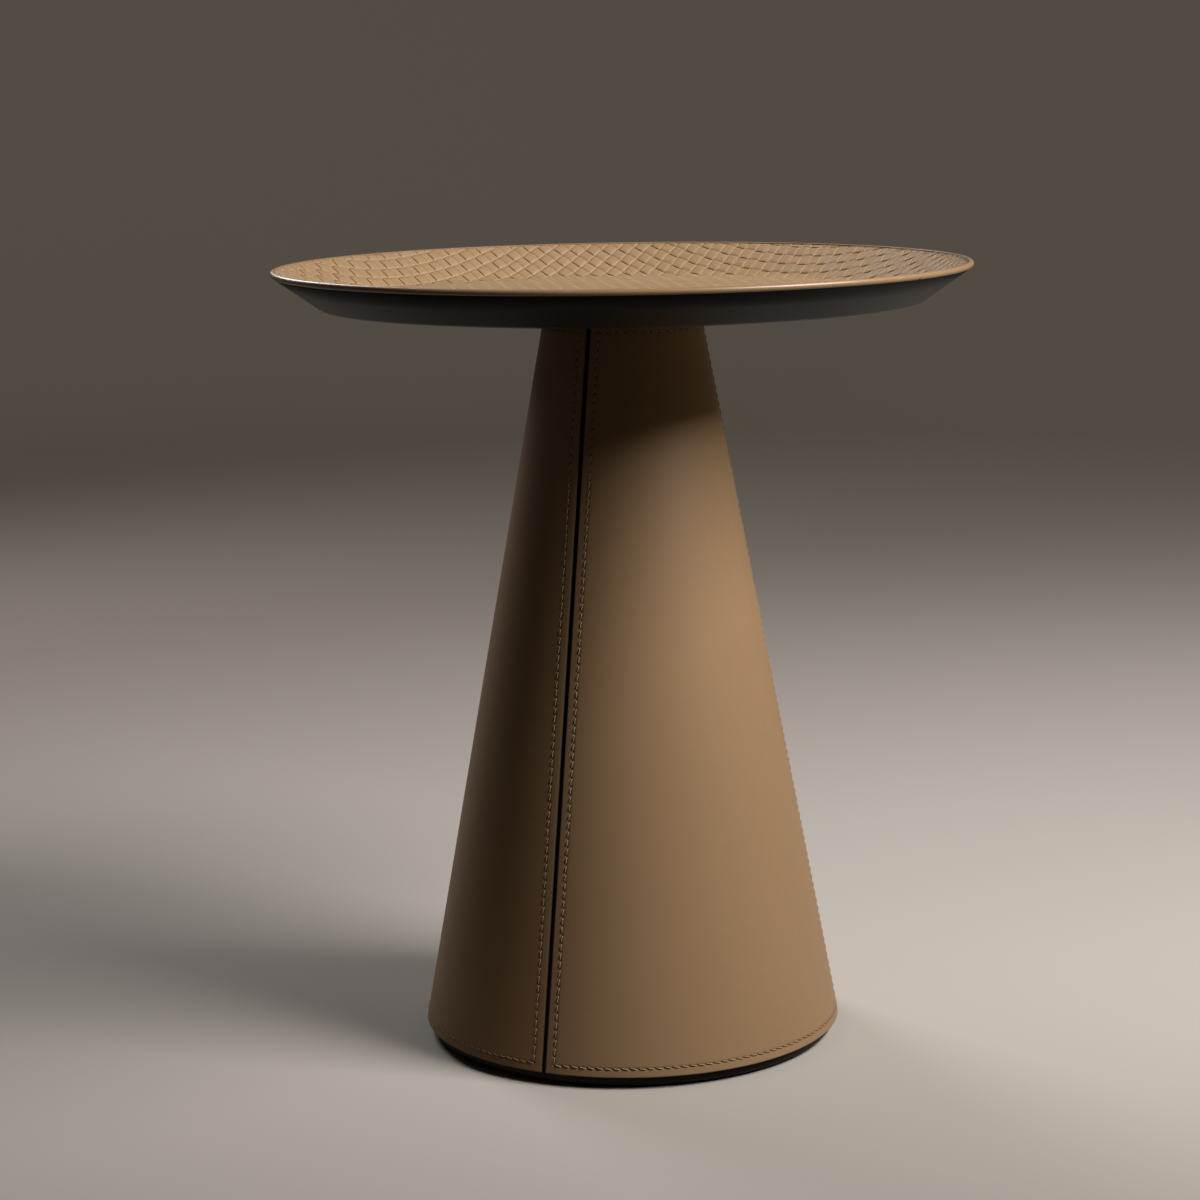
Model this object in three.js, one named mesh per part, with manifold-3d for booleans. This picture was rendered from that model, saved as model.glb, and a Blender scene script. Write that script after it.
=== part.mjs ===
// A round side table: a steel cone clad in three leather panels, which carries a dished
// tray lined with woven leather. Millimetres, +Z up. The origin is the centre of the
// base on the floor, and the table is seen from -Y.
import * as THREE from 'three';
import { mergeVertices } from 'three/addons/utils/BufferGeometryUtils.js';
import Module from 'manifold-3d';

// Driving dimensions of the whole table
const tableHeight = 565;
const trayDiameter = 500;
const trayFloorDiameter = 430; // flat underside of the tray
const trayDepth = 28; // from the underside of the tray to the top of its lip
const coneTopDiameter = 109.4; // of the leather's face, carried up to the underside of the tray
const coneBaseDiameter = 306; // over the leather, at the hem

// Clearances
const seatGap = 0.3; // between pieces that rest on or line each other
const threadGap = 0.3; // between a thread and the threaded hole, on the radius
const holeGap = 0.4; // between a screw or stud and its plain hole, on the radius
const cutOverrun = 2; // how far a cutter runs past the face that it cuts

// Tray: spun dish, leather lining and the leather bead round its lip
const dishThickness = 2;
const dishBendRadius = 10; // outer radius of the bend between floor and flare
const liningThickness = 2;
const lipBeadDiameter = 4.6;

// Cone: painted shell, leather panels and the slots between them
const panelCount = 3;
const panelThickness = 2.2;
const panelSlot = 3; // width of the open slot between two panels
const bareTop = 10; // height of painted shell left bare above the leather
const shellThickness = 2;
const seamTurn = -24.5; // degrees from the front to the first slot, clockwise seen from above

// Base: ballast plate, round felt glides and the screws that hold the cone
const plateThickness = 6.4;
const plateEdgeChamfer = 0.8;
const footRecess = 4.5; // how far the plate's edge stands back from the hem
const glideCount = 4;
const glideDiameter = 30;
const glideHeight = 2;
const glideInset = 5; // from the plate's edge to the glide
const tabCount = 4;
const tabWidth = 26;
const tabThickness = 4;
const tabFootLength = 26;
const tabHeight = 30;
const screwDiameter = 6;
const screwHeadDiameter = 12;
const screwHeadDepth = 3.3;
const screwHeadRecess = 0.3; // how far the head lies inside the plate's underside
const screwTipLength = 3; // how far the screw stands out of the tab
const screwSocketWidth = 4; // across the flats
const screwSocketDepth = 2;

// Joint of cone and tray: top plate, welded studs, washers and nuts
const topPlateThickness = 5;
const studCount = 4;
const studDiameter = 6;
const studInset = 16; // from the top plate's edge to the stud's centre
const studTipLength = 3; // how far the stud stands out of the nut
const washerDiameter = 14;
const washerThickness = 1.6;
const nutWidth = 10; // across the flats
const nutThickness = 5;

// Facets
const bigRoundSteps = 96;
const smallRoundSteps = 24;
const bendSteps = 4;
const beadSteps = 8;

// Heights and slopes worked out from the sizes above
const trayFloorZ = tableHeight - trayDepth;
const coneTopZ = trayFloorZ - seatGap;
const leatherTopZ = coneTopZ - bareTop;
const plateBottomZ = glideHeight + seatGap;
const hemZ = plateBottomZ + plateThickness + seatGap;
const coneTopRadius = coneTopDiameter / 2;
const coneBaseRadius = coneBaseDiameter / 2;
const coneSlope = Math.atan2(coneBaseRadius - coneTopRadius, trayFloorZ - hemZ);
const plateRadius = coneBaseRadius - footRecess;
const shellDepth = panelThickness + seatGap; // from the leather's face to the shell's face
const shellInnerDepth = shellDepth + shellThickness;
const screwHoleRadius = screwDiameter / 2 + holeGap;
const studHoleRadius = studDiameter / 2 + holeGap;

const wasm = await Module();
wasm.setup();

// A closed geometry as a solid for cutting
function toSolid(geometry) {
  const bare = geometry.clone();
  bare.deleteAttribute('normal');
  bare.deleteAttribute('uv');
  const merged = mergeVertices(bare);
  return new wasm.Manifold(new wasm.Mesh({
    numProp: 3,
    vertProperties: new Float32Array(merged.attributes.position.array),
    triVerts: new Uint32Array(merged.index.array),
  }));
}

// A solid as a geometry again
function toGeometry(solid) {
  const { vertProperties, triVerts } = solid.getMesh();
  const geometry = new THREE.BufferGeometry();
  geometry.setAttribute('position', new THREE.BufferAttribute(vertProperties, 3));
  geometry.setIndex(new THREE.BufferAttribute(triVerts, 1));
  geometry.computeVertexNormals();
  return geometry;
}

function cut(geometry, cutters) {
  return toGeometry(cutters.reduce((solid, cutter) => solid.subtract(toSolid(cutter)), toSolid(geometry)));
}

// A profile of [radius, height] points, turned round the Z axis
function turned(profile, steps) {
  const points = profile.map(([radius, height]) => new THREE.Vector2(radius, height));
  return new THREE.LatheGeometry(points, steps).rotateX(Math.PI / 2);
}

// A round bar that stands on z = 0
function bar(radius, height, steps = smallRoundSteps) {
  return turned([[0, 0], [radius, 0], [radius, height], [0, height]], steps);
}

// An outline in the plane of radius and height, drawn across a width centred on y = 0
function drawnAcross(outline, width) {
  const shape = new THREE.Shape(outline.map(([x, z]) => new THREE.Vector2(x, z)));
  const geometry = new THREE.ExtrudeGeometry(shape, { depth: width, bevelEnabled: false });
  return geometry.rotateX(Math.PI / 2).translate(0, width / 2, 0);
}

// The six corners of a hexagon with one flat facing +X
function hexagon(width) {
  const corners = [];
  for (let i = 0; i < 6; i += 1) {
    const angle = (i + 0.5) * Math.PI / 3;
    const radius = width / 2 / Math.cos(Math.PI / 6);
    corners.push(new THREE.Vector2(radius * Math.cos(angle), radius * Math.sin(angle)));
  }
  return corners;
}

// The angles of equally spaced copies round the Z axis
function roundAngles(count) {
  return Array.from({ length: count }, (_, i) => (i + 0.5) * 2 * Math.PI / count);
}

function piece(name, geometry, material) {
  const mesh = new THREE.Mesh(geometry, material.clone());
  mesh.name = name;
  return mesh;
}

// One mesh for each angle, at a radius and height, turned to face outwards
function ringOf(name, geometry, material, angles, radius, z) {
  return angles.map((angle, i) => {
    const mesh = piece(`${name}_${i + 1}`, geometry, material);
    mesh.position.set(radius * Math.cos(angle), radius * Math.sin(angle), z);
    mesh.rotation.z = angle;
    return mesh;
  });
}

const saddleLeather = new THREE.MeshStandardMaterial({ color: 0xa8845c, roughness: 0.55, metalness: 0 });
const blackPaint = new THREE.MeshStandardMaterial({ color: 0x141312, roughness: 0.5, metalness: 0.1 });
const graphitePaint = new THREE.MeshStandardMaterial({ color: 0x34332f, roughness: 0.6, metalness: 0.2 });
const greyFelt = new THREE.MeshStandardMaterial({ color: 0x2b2a29, roughness: 0.95, metalness: 0 });
const zincSteel = new THREE.MeshStandardMaterial({ color: 0x9a9a98, roughness: 0.4, metalness: 0.9 });

// The cone's radius at a height, at a depth below the face of the leather
function coneRadius(z, depth = 0) {
  const faceRadius = coneBaseRadius - (z - hemZ) * Math.tan(coneSlope);
  return faceRadius - depth / Math.cos(coneSlope);
}

// A conical skin from the hem to a height, between two depths below the face
function coneSkin(outerDepth, innerDepth, topZ) {
  return turned([
    [coneRadius(hemZ, innerDepth), hemZ],
    [coneRadius(hemZ, outerDepth), hemZ],
    [coneRadius(topZ, outerDepth), topZ],
    [coneRadius(topZ, innerDepth), topZ],
    [coneRadius(hemZ, innerDepth), hemZ],
  ], bigRoundSteps);
}

// One panel: the sector of the skin between two slots, whose sides run beside the slots'
// middle planes at half the slot's width
function panelGeometry(skin, middle) {
  const half = Math.PI / panelCount;
  const apex = panelSlot / 2 / Math.sin(half);
  const reach = coneBaseDiameter;
  const outline = [new THREE.Vector2(apex * Math.cos(middle), apex * Math.sin(middle))];
  for (const turn of [-half, 0, half]) {
    outline.push(new THREE.Vector2(
      apex * Math.cos(middle) + reach * Math.cos(middle + turn),
      apex * Math.sin(middle) + reach * Math.sin(middle + turn),
    ));
  }
  const sector = new THREE.ExtrudeGeometry(new THREE.Shape(outline), {
    depth: tableHeight,
    bevelEnabled: false,
  });
  return toGeometry(toSolid(skin).intersect(toSolid(sector)));
}

// The cone stands with its first slot seamTurn degrees round from the front
function makeCone() {
  const cone = new THREE.Group();
  cone.add(piece('cone_shell', coneSkin(shellDepth, shellInnerDepth, coneTopZ), blackPaint));
  const skin = coneSkin(0, panelThickness, leatherTopZ);
  for (let i = 0; i < panelCount; i += 1) {
    const middle = (i + 0.5) * 2 * Math.PI / panelCount;
    cone.add(piece(`leather_panel_${i + 1}`, panelGeometry(skin, middle), saddleLeather));
  }
  cone.rotation.z = -Math.PI / 2 + THREE.MathUtils.degToRad(seamTurn);
  return cone;
}

// The disc inside the cone's top, with a hole for each stud
const topPlateBottomZ = coneTopZ - topPlateThickness;
const topPlateTopRadius = coneRadius(coneTopZ, shellInnerDepth + seatGap);
const topPlateBottomRadius = coneRadius(topPlateBottomZ, shellInnerDepth + seatGap);
const studCircleRadius = topPlateTopRadius - studInset;

function makeTopPlate() {
  const disc = turned([
    [0, 0],
    [topPlateBottomRadius, 0],
    [topPlateTopRadius, topPlateThickness],
    [0, topPlateThickness],
  ], bigRoundSteps);
  const hole = bar(studHoleRadius, topPlateThickness + 2 * cutOverrun);
  const holes = roundAngles(studCount).map((angle) => hole.clone().translate(
    studCircleRadius * Math.cos(angle),
    studCircleRadius * Math.sin(angle),
    -cutOverrun,
  ));
  const mesh = piece('top_plate', cut(disc, holes), blackPaint);
  mesh.position.z = topPlateBottomZ;
  return mesh;
}

// Studs welded under the dish, with a washer and a nut below the top plate
function makeStuds() {
  const angles = roundAngles(studCount);
  const washerZ = topPlateBottomZ - seatGap - washerThickness;
  const nutZ = washerZ - seatGap - nutThickness;
  const studZ = nutZ - studTipLength;
  const stud = bar(studDiameter / 2, coneTopZ - studZ);
  const washer = turned([
    [studHoleRadius, 0],
    [washerDiameter / 2, 0],
    [washerDiameter / 2, washerThickness],
    [studHoleRadius, washerThickness],
    [studHoleRadius, 0],
  ], smallRoundSteps);
  const nutShape = new THREE.Shape(hexagon(nutWidth));
  nutShape.holes.push(new THREE.Path().absarc(0, 0, studDiameter / 2 + threadGap, 0, 2 * Math.PI, true));
  const nut = new THREE.ExtrudeGeometry(nutShape, {
    depth: nutThickness,
    bevelEnabled: false,
    curveSegments: smallRoundSteps,
  });
  return [
    ...ringOf('tray_stud', stud, zincSteel, angles, studCircleRadius, studZ),
    ...ringOf('stud_washer', washer, zincSteel, angles, studCircleRadius, washerZ),
    ...ringOf('stud_nut', nut, zincSteel, angles, studCircleRadius, nutZ),
  ];
}

// The tabs are L-shaped brackets inside the hem. The outer face of the leg is flat, so its
// two edges lie beside the round shell and its middle stands a little further in.
function tabFaceRadius(z) {
  const wall = coneRadius(z, shellInnerDepth + seatGap);
  return Math.sqrt(wall * wall - tabWidth * tabWidth / 4);
}

const tabFootRadius = tabFaceRadius(hemZ);
const screwCircleRadius = tabFootRadius - (tabFootLength + tabThickness) / 2;

function makeTabs() {
  const legTopRadius = tabFaceRadius(hemZ + tabHeight);
  const legRootRadius = tabFaceRadius(hemZ + tabThickness) - tabThickness;
  const bracket = drawnAcross([
    [tabFootRadius - tabFootLength, 0],
    [tabFootRadius, 0],
    [legTopRadius, tabHeight],
    [legTopRadius - tabThickness, tabHeight],
    [legRootRadius, tabThickness],
    [tabFootRadius - tabFootLength, tabThickness],
  ], tabWidth);
  const hole = bar(screwDiameter / 2 + threadGap, tabThickness + 2 * cutOverrun);
  const drilled = cut(bracket, [hole.translate(screwCircleRadius, 0, -cutOverrun)]);
  return ringOf('cone_tab', drilled, blackPaint, roundAngles(tabCount), 0, hemZ);
}

// Countersunk screws with a hexagon socket, driven up through the plate into the tabs
function makeScrews() {
  const headZ = plateBottomZ + screwHeadRecess;
  const length = hemZ + tabThickness + screwTipLength - headZ;
  const body = turned([
    [0, 0],
    [screwHeadDiameter / 2, 0],
    [screwDiameter / 2, screwHeadDepth],
    [screwDiameter / 2, length],
    [0, length],
  ], smallRoundSteps);
  const socket = new THREE.ExtrudeGeometry(new THREE.Shape(hexagon(screwSocketWidth)), {
    depth: screwSocketDepth + cutOverrun,
    bevelEnabled: false,
  });
  const screw = cut(body, [socket.translate(0, 0, -cutOverrun)]);
  return ringOf('base_screw', screw, zincSteel, roundAngles(tabCount), screwCircleRadius, headZ);
}

// The steel plate that weighs the table down and closes the cone
function makeBasePlate() {
  const rim = plateRadius - plateEdgeChamfer;
  const disc = turned([
    [0, 0],
    [rim, 0],
    [plateRadius, plateEdgeChamfer],
    [plateRadius, plateThickness - plateEdgeChamfer],
    [rim, plateThickness],
    [0, plateThickness],
  ], bigRoundSteps);
  const countersink = turned([
    [0, -cutOverrun],
    [screwHeadDiameter / 2 + holeGap, -cutOverrun],
    [screwHeadDiameter / 2 + holeGap, screwHeadRecess],
    [screwHoleRadius, screwHeadRecess + screwHeadDepth],
    [screwHoleRadius, plateThickness + cutOverrun],
    [0, plateThickness + cutOverrun],
  ], smallRoundSteps);
  const holes = roundAngles(tabCount).map((angle) => countersink.clone().rotateZ(angle).translate(
    screwCircleRadius * Math.cos(angle),
    screwCircleRadius * Math.sin(angle),
    0,
  ));
  const mesh = piece('base_plate', cut(disc, holes), blackPaint);
  mesh.position.z = plateBottomZ;
  return mesh;
}

function makeGlides() {
  const circle = plateRadius - glideInset - glideDiameter / 2;
  const angles = roundAngles(glideCount).map((angle) => angle + Math.PI / glideCount);
  return ringOf('felt_glide', bar(glideDiameter / 2, glideHeight), greyFelt, angles, circle, 0);
}

// The tray's section, in its own heights above its underside. Every layer follows the outer
// face of the dish at a depth: a flat floor, a bend, and a flare that ends under the bead.
const layersThickness = dishThickness + seatGap + liningThickness;
const beadRadius = lipBeadDiameter / 2;
const beadCentre = new THREE.Vector2(trayDiameter / 2 - beadRadius, trayDepth - beadRadius);
const floorEdge = new THREE.Vector2(trayFloorDiameter / 2, 0);
const toBead = beadCentre.clone().sub(floorEdge);
const flareAngle = toBead.angle() - Math.asin(layersThickness / 2 / toBead.length());
const flareAlong = new THREE.Vector2(Math.cos(flareAngle), Math.sin(flareAngle));
const flareInward = new THREE.Vector2(-Math.sin(flareAngle), Math.cos(flareAngle));
const bendCentre = new THREE.Vector2(
  floorEdge.x - dishBendRadius * Math.tan(flareAngle / 2),
  dishBendRadius,
);

// The points of one face from the axis to the lip
function layerFace(depth) {
  const points = [[0, depth]];
  const radius = dishBendRadius - depth;
  for (let i = 0; i <= bendSteps; i += 1) {
    const angle = flareAngle * i / bendSteps;
    points.push([bendCentre.x + radius * Math.sin(angle), bendCentre.y - radius * Math.cos(angle)]);
  }
  const end = beadCentre.clone()
    .addScaledVector(flareAlong, -seatGap)
    .addScaledVector(flareInward, depth - layersThickness / 2);
  points.push([end.x, end.y]);
  return points;
}

function layer(outerDepth, thickness) {
  return turned([...layerFace(outerDepth), ...layerFace(outerDepth + thickness).reverse()], bigRoundSteps);
}

// A half-round bead of folded leather whose flat side sits on the edges of dish and lining
function beadGeometry() {
  const points = [];
  for (let i = 0; i <= beadSteps; i += 1) {
    const angle = flareAngle + Math.PI * (i / beadSteps - 0.5);
    points.push([beadCentre.x + beadRadius * Math.cos(angle), beadCentre.y + beadRadius * Math.sin(angle)]);
  }
  points.push(points[0]);
  return turned(points, bigRoundSteps);
}

function makeTray() {
  const tray = new THREE.Group();
  tray.add(piece('tray_dish', layer(0, dishThickness), graphitePaint));
  tray.add(piece('woven_lining', layer(dishThickness + seatGap, liningThickness), saddleLeather));
  tray.add(piece('lip_bead', beadGeometry(), saddleLeather));
  tray.position.z = trayFloorZ;
  return tray;
}

const table = new THREE.Group();
table.add(...makeGlides(), makeBasePlate(), ...makeScrews(), ...makeTabs());
table.add(makeCone(), makeTopPlate(), ...makeStuds(), makeTray());

export default table;
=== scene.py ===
import math

import bpy
import numpy as np
from bpy.props import FloatProperty, FloatVectorProperty, IntProperty, PointerProperty
from mathutils import Matrix, Vector


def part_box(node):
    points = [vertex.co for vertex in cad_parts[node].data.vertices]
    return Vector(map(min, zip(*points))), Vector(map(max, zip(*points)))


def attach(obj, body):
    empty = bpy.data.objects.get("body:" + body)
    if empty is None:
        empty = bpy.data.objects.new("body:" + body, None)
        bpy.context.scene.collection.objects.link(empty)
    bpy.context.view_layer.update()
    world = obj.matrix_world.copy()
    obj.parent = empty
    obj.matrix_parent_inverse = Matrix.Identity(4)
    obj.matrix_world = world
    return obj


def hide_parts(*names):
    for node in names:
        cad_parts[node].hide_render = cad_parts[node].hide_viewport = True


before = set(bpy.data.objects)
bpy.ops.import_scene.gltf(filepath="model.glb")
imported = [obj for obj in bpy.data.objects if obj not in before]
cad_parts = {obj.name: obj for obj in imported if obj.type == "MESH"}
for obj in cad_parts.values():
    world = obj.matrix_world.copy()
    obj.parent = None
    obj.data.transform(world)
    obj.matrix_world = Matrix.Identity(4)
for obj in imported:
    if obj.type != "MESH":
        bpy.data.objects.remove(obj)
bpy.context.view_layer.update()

bl_info = {
    "name": "Leather Side Table",
    "version": (1, 0, 0),
    "blender": (4, 5, 0),
    "location": "3D View > Sidebar > Side Table",
    "description": "A round side table with a stitched leather cone and a woven leather tray",
    "category": "Add Mesh",
}

MM = 0.001  # metres in a millimetre
FULL_TURN = 2 * math.pi
QUARTER_TURN = math.pi / 2

# Heights and radii from the frame
HEM_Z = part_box("leather_panel_1")[0].z
LEATHER_TOP_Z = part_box("leather_panel_1")[1].z
UNDERSIDE_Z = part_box("tray_dish")[0].z
LIP_TOP_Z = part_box("lip_bead")[1].z
LIP_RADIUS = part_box("lip_bead")[1].x

SEAT_GAP = 0.3 * MM  # between pieces that rest on or line each other
ROUND_STEPS = 288  # points round the tray


# Settings

def length_setting(name, size, description):
    return FloatProperty(name=name, description=description, default=size, unit="LENGTH")


def plan_setting(name, place, description):
    return FloatVectorProperty(name=name, description=description, size=2, default=place, unit="LENGTH")


def power_setting(name, watts, description):
    return FloatProperty(name=name, description=description, default=watts, unit="POWER")


def colour_setting(name, tone, description):
    return FloatVectorProperty(
        name=name, description=description, subtype="COLOR", size=3, min=0, max=1, default=tone)


class ConeSettings(bpy.types.PropertyGroup):
    base_radius: length_setting("Base Radius", 153 * MM, "Over the leather, at the hem")
    top_radius: length_setting(
        "Top Radius", 54.7 * MM, "Of the leather's face, carried up to the tray's underside")
    panel_thickness: length_setting("Panel Thickness", 2.2 * MM, "Thickness of the leather panels")
    slot_width: length_setting("Slot Width", 3 * MM, "Width of the open slot between two panels")
    seam_turn: FloatProperty(
        name="Seam Turn", description="Angle of the first slot from the +X axis",
        default=math.radians(-114.5), unit="ROTATION")
    edge_round: length_setting("Edge Round", 0.8 * MM, "Rounding of the panels' edges")
    stitch_margin: length_setting("Stitch Margin", 6.3 * MM, "From a panel's edge to its stitched row")
    stitch_pitch: length_setting("Stitch Pitch", 6.1 * MM, "From one stitch to the next")
    stitch_length: length_setting(
        "Stitch Length", 5.0 * MM, "Length of the thread between its two holes")
    stitch_slant: length_setting(
        "Stitch Slant", 0.95 * MM, "How far a stitch's ends lie apart across the row")
    thread_diameter: length_setting("Thread Diameter", 0.85 * MM, "Thickness of the thread")


class TraySettings(bpy.types.PropertyGroup):
    floor_radius: length_setting("Floor Radius", 215 * MM, "Of the tray's flat underside")
    dish_thickness: length_setting("Dish Thickness", 2 * MM, "Sheet thickness of the dish")
    lining_thickness: length_setting("Lining Thickness", 2 * MM, "Thickness of the woven lining")
    bead_diameter: length_setting("Bead Diameter", 4.6 * MM, "Of the rounded leather lip")
    first_cell: plan_setting(
        "First Cell", (7.25 * MM, -5.37 * MM), "One cell along a strip of the first family, in plan")
    second_cell: plan_setting(
        "Second Cell", (5.62 * MM, 6.48 * MM), "One cell along a strip of the second family, in plan")
    weave_start: plan_setting(
        "Weave Start", (63.5 * MM, 235.2 * MM), "A corner of the cells, in plan")
    strip_gap: length_setting("Strip Gap", 0.16 * MM, "Between two strips that lie side by side")
    strip_thickness: length_setting("Strip Thickness", 0.74 * MM, "Thickness of a woven strip")
    weave_rise: length_setting(
        "Weave Rise", 0.38 * MM, "How far a strip rises and dips about the lining's middle")


class FinishSettings(bpy.types.PropertyGroup):
    leather: colour_setting(
        "Leather", (0.36, 0.221, 0.116), "Saddle leather of the cone and the lip")
    woven_leather: colour_setting(
        "Woven Leather", (0.44, 0.285, 0.155), "Leather strips of the tray")
    thread: colour_setting("Thread", (0.4, 0.268, 0.152), "Waxed thread of the stitches")
    black_paint: colour_setting(
        "Black Paint", (0.0065, 0.006, 0.006), "Cone shell, foot plate, tabs and top plate")
    graphite_paint: colour_setting("Graphite Paint", (0.008, 0.0077, 0.0068), "Dish of the tray")
    felt: colour_setting("Felt", (0.03, 0.03, 0.029), "Glides under the foot")
    steel: colour_setting("Steel", (0.5, 0.5, 0.49), "Zinc plated screws, studs, washers and nuts")


class StageSettings(bpy.types.PropertyGroup):
    floor: colour_setting("Floor", (0.6, 0.546, 0.497), "Colour of the floor")
    backdrop: colour_setting("Backdrop", (0.25, 0.217, 0.188), "Colour of the backdrop")
    key_power: power_setting("Key Power", 55, "Power of the soft light at the front right")
    rim_power: power_setting("Rim Power", 21, "Power of the light behind the left side")
    fill: FloatProperty(
        name="Fill", description="Strength of the light from all round", default=0.02)
    lens: FloatProperty(
        name="Lens", description="Focal length on a sensor 36 mm wide", default=88.7, unit="CAMERA")
    seed: IntProperty(
        name="Seed", description="Start of the random draws for stitches and strip tones", default=7)


# Shader nodes

class Value:
    """A shader socket in a Python expression: each operator adds its Math node."""

    def __init__(self, shader, socket):
        self.shader = shader
        self.socket = socket

    def math(self, operation, *values):
        inputs = dict(enumerate(values))
        return self.shader.node("ShaderNodeMath", {"operation": operation}, inputs)

    def __add__(self, other):
        return self.math("ADD", self, other)

    def __sub__(self, other):
        return self.math("SUBTRACT", self, other)

    def __rsub__(self, other):
        return self.math("SUBTRACT", other, self)

    def __mul__(self, other):
        return self.math("MULTIPLY", self, other)

    def __truediv__(self, other):
        return self.math("DIVIDE", self, other)

    __radd__ = __add__
    __rmul__ = __mul__

    def abs(self):
        return self.math("ABSOLUTE", self)

    def sine(self):
        return self.math("SINE", self)

    def least(self, other):
        return self.math("MINIMUM", self, other)

    def most(self, other):
        return self.math("MAXIMUM", self, other)

    def to_whole(self):
        """Distance to the nearest whole number."""
        return (self - self.math("ROUND", self)).abs()

    def fade(self, low, high):
        """0 up to low, 1 from high on, and smooth between them."""
        settings = {"interpolation_type": "SMOOTHSTEP"}
        inputs = {"Value": self, "From Min": low, "From Max": high}
        return self.shader.node("ShaderNodeMapRange", settings, inputs)

    def between(self, start, end):
        """The start where this is 0, the end where it is 1, and evenly spread between them."""
        return start + self * (end - start)


class Shader:
    """A material with one Principled shader, whose other nodes all come from node()."""

    def __init__(self, name):
        self.material = bpy.data.materials.new(name)
        self.material.use_nodes = True
        self.tree = self.material.node_tree
        self.tree.nodes.clear()
        self.place = self.node("ShaderNodeTexCoord", output="Object")

    def node(self, kind, settings=None, inputs=None, output=0):
        made = self.tree.nodes.new(kind)
        for name, value in (settings or {}).items():
            setattr(made, name, value)
        for name, value in (inputs or {}).items():
            if isinstance(value, Value):
                self.tree.links.new(value.socket, made.inputs[name])
            else:
                made.inputs[name].default_value = value
        return Value(self, made.outputs[output])

    def noise(self, per_metre, detail, place=None):
        """Soft noise from 0 to 1, with so many patches to a metre."""
        inputs = {"Vector": place or self.place, "Scale": per_metre, "Detail": detail}
        return self.node("ShaderNodeTexNoise", None, inputs)

    def cells(self, per_metre):
        """Distance to the middle of the nearest of scattered cells."""
        return self.node("ShaderNodeTexVoronoi", None, {"Vector": self.place, "Scale": per_metre})

    def stretched(self, scale):
        """The place with each axis scaled, for grain that runs one way."""
        return self.node("ShaderNodeMapping", None, {"Vector": self.place, "Scale": scale})

    def axis(self, place, letter):
        return self.node("ShaderNodeSeparateXYZ", None, {"Vector": place}, letter)

    def map(self, name):
        """Both coordinates of one of the piece's own maps."""
        place = self.node("ShaderNodeUVMap", {"uv_map": name})
        return self.axis(place, "X"), self.axis(place, "Y")

    def attribute(self, name):
        return self.node("ShaderNodeAttribute", {"attribute_name": name}, None, "Fac")

    def light_path(self, name):
        return self.node("ShaderNodeLightPath", None, None, name)

    def mix(self, factor, first, second, share=None):
        """The second colour over the first, by a factor that varies and a share that doesn't."""
        inputs = {0: factor * share if share else factor, 6: rgba(first), 7: rgba(second)}
        return self.node("ShaderNodeMix", {"data_type": "RGBA"}, inputs, 2)

    def scaled(self, colour, factor):
        """A colour made lighter or darker by a factor that varies."""
        inputs = {"Vector": colour if isinstance(colour, Value) else colour[:3], "Scale": factor}
        return self.node("ShaderNodeVectorMath", {"operation": "SCALE"}, inputs)

    def bump(self, height, distance, strength, normal=None):
        inputs = {"Height": height, "Distance": distance, "Strength": strength}
        if normal:
            inputs["Normal"] = normal
        return self.node("ShaderNodeBump", None, inputs)

    def finish(self, **inputs):
        """Ends the material in its Principled shader, with socket names in small letters."""
        titles = {name: name.replace("_", " ").title().replace("Ior", "IOR") for name in inputs}
        sockets = {titles[name]: value for name, value in inputs.items()}
        surface = self.node("ShaderNodeBsdfPrincipled", None, sockets)
        output = self.tree.nodes.new("ShaderNodeOutputMaterial")
        self.tree.links.new(surface.socket, output.inputs["Surface"])
        return self.material


def rgba(colour):
    return colour if isinstance(colour, Value) else (*colour[:3], 1.0)


# Materials

# Tones that the finishes blend towards, some of them painted shade, and the backdrop's painted glow
SPECK_TONE = (0.62, 0.5, 0.36)
CUT_EDGE_TONE = (0.05, 0.03, 0.017)
HOLE_SHADE_TONE = (0.035, 0.021, 0.012)
STRIP_SIDE_TONE = (0.6, 0.42, 0.26)
UNDER_SHADE_TONE = (0.1, 0.055, 0.027)
RUBBED_TONE = (0.6, 0.46, 0.32)
UNDERSIDE_SHADE_TONE = (0.13, 0.07, 0.033)
DUST_TONE = (0.2, 0.19, 0.175)
CARRIED_TONE = (0.56, 0.45, 0.32)
GLOW_TONE = (0.049, 0.0425, 0.035)

# Depths of the bumps in the finishes
GRAIN_DEPTH = 0.03 * MM
HOLE_DEPTH = 0.35 * MM
PLY_DEPTH = 0.08 * MM
PEEL_DEPTH = 0.02 * MM
FELT_DEPTH = 0.25 * MM
TURNING_DEPTH = 0.01 * MM

# Needle holes, and how far a row of them runs past the middle of the row that it meets
HOLE_HALF_WIDTH = 0.62 * MM
HOLE_HALF_LENGTH = 0.85 * MM
ROW_OVERRUN = 0.7 * MM
ROW_FADE = 0.2 * MM

STRIP_TONE_SPREAD = 0.035
UNDERSIDE_SHADE_START = 1.9 * MM  # below the bead's middle, where the painted shade on its underside is darkest
UNDERSIDE_SHADE_END = 0.3 * MM  # below the bead's middle, where the painted shade on its underside ends


def leather_tone(shader, colour):
    """Leather colour with broad clouds, fine mottling and a few pale specks."""
    clouds = shader.noise(per_metre=9, detail=3).between(0.955, 1.045)
    mottle = shader.noise(per_metre=160, detail=3).between(-0.035, 0.035)
    specks = 1 - shader.cells(per_metre=75).fade(0.018, 0.03)
    patches = shader.noise(per_metre=31, detail=0).fade(0.6, 0.66)
    tone = shader.scaled(colour, clouds + mottle)
    return shader.mix(specks * patches, tone, SPECK_TONE, share=0.5)


def leather_grain(shader, normal=None):
    """Fine pebbled grain of smooth leather."""
    pebbles = shader.cells(per_metre=1500)
    pores = shader.noise(per_metre=2600, detail=2)
    return shader.bump(pebbles * 0.6 + pores * 0.4, GRAIN_DEPTH, strength=0.55, normal=normal)


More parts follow.
